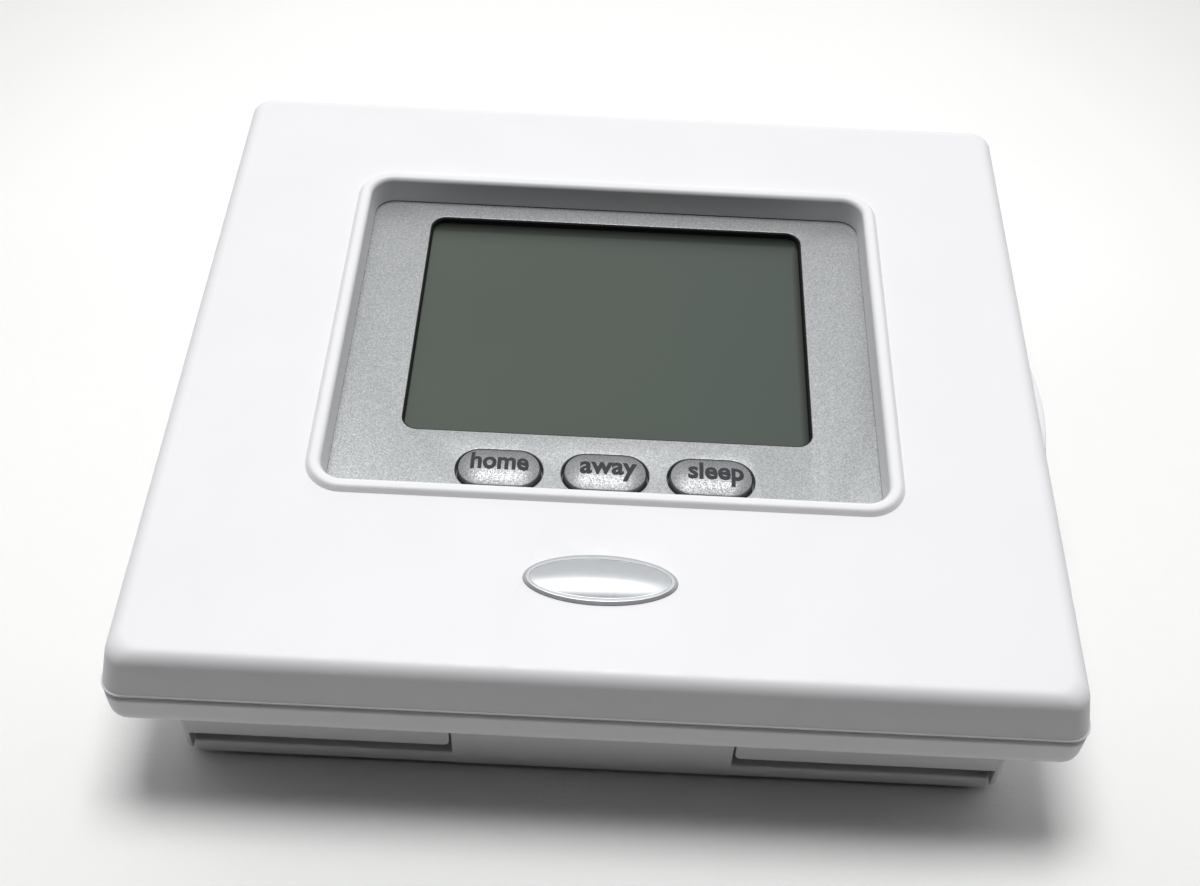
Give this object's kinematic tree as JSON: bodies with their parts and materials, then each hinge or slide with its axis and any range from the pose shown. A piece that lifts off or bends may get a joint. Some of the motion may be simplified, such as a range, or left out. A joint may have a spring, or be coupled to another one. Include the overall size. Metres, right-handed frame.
{
  "type": "wall thermostat",
  "caption": "Wall thermostat with a rectangular face, a hinged front door with a framed window, a display, push buttons and a terminal base.",
  "frame": {"origin": "centre of the mounting base's flat back face, which goes against the wall and here lies on the table", "axes": "+Z out of the face, away from the wall; +Y towards the thermostat's top edge; +X to the right as seen from the front"},
  "size_m": [0.1331, 0.1192, 0.0313],
  "materials": {
    "white_plastic": "satin moulded ABS, slightly cool white",
    "silver_fascia": "moulded plastic under fine silver metallic paint",
    "button_silver": "darker silver metallic paint, domed keys with grey function words",
    "badge_silver": "satin silver plated oval with a thin raised rim, blank",
    "display_glass": "unlit liquid crystal panel, dark greenish grey, smooth",
    "black_plastic": "black moulded plastic",
    "terminal_plastic": "dark grey moulded plastic",
    "brass_screw": "plain brass screws",
    "steel": "bright zinc-plated steel",
    "board_green": "glass-fibre board under green solder mask",
    "light_guide": "milky acrylic light guide",
    "contact_rubber": "grey layered contact rubber",
    "sensor_blue": "blue epoxy bead",
    "relay_shell": "off-white relay covers"
  },
  "bodies": {
    "base": {"mounting_base": "white_plastic", "terminal_block_left": "terminal_plastic", "terminal_block_right": "terminal_plastic", "terminal_screw_left_1": "brass_screw", "terminal_screw_left_2": "brass_screw", "terminal_screw_left_3": "brass_screw", "terminal_screw_left_4": "brass_screw", "terminal_screw_right_1": "brass_screw", "terminal_screw_right_2": "brass_screw", "terminal_screw_right_3": "brass_screw", "terminal_screw_right_4": "brass_screw"},
    "housing": {"rear_housing": "white_plastic", "circuit_board": "board_green", "board_screw_1": "steel", "board_screw_2": "steel", "board_screw_3": "steel", "board_screw_4": "steel", "fascia": "silver_fascia", "display_bezel": "black_plastic", "display_glass": "display_glass", "display_backlight": "light_guide", "upper_contact_strip": "contact_rubber", "lower_contact_strip": "contact_rubber", "control_chip": "black_plastic", "temperature_sensor": "sensor_blue", "relay_1": "relay_shell", "relay_2": "relay_shell", "relay_3": "relay_shell", "relay_4": "relay_shell", "pin_header_left": "black_plastic", "pin_header_right": "black_plastic", "hinge_pin_upper": "steel", "hinge_pin_lower": "steel", "home_switch": "black_plastic", "away_switch": "black_plastic", "sleep_switch": "black_plastic", "temp_up_switch": "black_plastic", "temp_down_switch": "black_plastic", "mode_switch": "black_plastic", "fan_switch": "black_plastic", "program_switch": "black_plastic", "hold_switch": "black_plastic"},
    "door": {"door": "white_plastic", "badge": "badge_silver"},
    "home_button": {"home_button": "button_silver"},
    "away_button": {"away_button": "button_silver"},
    "sleep_button": {"sleep_button": "button_silver"},
    "temp_up_button": {"temp_up_button": "button_silver"},
    "temp_down_button": {"temp_down_button": "button_silver"},
    "mode_button": {"mode_button": "button_silver"},
    "fan_button": {"fan_button": "button_silver"},
    "program_button": {"program_button": "button_silver"},
    "hold_button": {"hold_button": "button_silver"}
  },
  "joints": [
    {"name": "housing_release", "type": "slide", "parent": "base", "child": "housing", "axis": [0, 0, 1], "range_m": [0, 0.03]},
    {"name": "door_hinge", "type": "hinge", "parent": "housing", "child": "door", "pos_m": [-0.0645, 0, 0.0248], "axis": [0, -1, 0], "range_deg": [0, 105]},
    {"name": "home_press", "type": "slide", "parent": "housing", "child": "home_button", "axis": [0, 0, -1], "range_m": [0, 0.0008], "stiffness_N_per_m": 800},
    {"name": "away_press", "type": "slide", "parent": "housing", "child": "away_button", "axis": [0, 0, -1], "range_m": [0, 0.0008], "stiffness_N_per_m": 800},
    {"name": "sleep_press", "type": "slide", "parent": "housing", "child": "sleep_button", "axis": [0, 0, -1], "range_m": [0, 0.0008], "stiffness_N_per_m": 800},
    {"name": "temp_up_press", "type": "slide", "parent": "housing", "child": "temp_up_button", "axis": [0, 0, -1], "range_m": [0, 0.0008], "stiffness_N_per_m": 800},
    {"name": "temp_down_press", "type": "slide", "parent": "housing", "child": "temp_down_button", "axis": [0, 0, -1], "range_m": [0, 0.0008], "stiffness_N_per_m": 800},
    {"name": "mode_press", "type": "slide", "parent": "housing", "child": "mode_button", "axis": [0, 0, -1], "range_m": [0, 0.0008], "stiffness_N_per_m": 800},
    {"name": "fan_press", "type": "slide", "parent": "housing", "child": "fan_button", "axis": [0, 0, -1], "range_m": [0, 0.0008], "stiffness_N_per_m": 800},
    {"name": "program_press", "type": "slide", "parent": "housing", "child": "program_button", "axis": [0, 0, -1], "range_m": [0, 0.0008], "stiffness_N_per_m": 800},
    {"name": "hold_press", "type": "slide", "parent": "housing", "child": "hold_button", "axis": [0, 0, -1], "range_m": [0, 0.0008], "stiffness_N_per_m": 800}
  ]
}
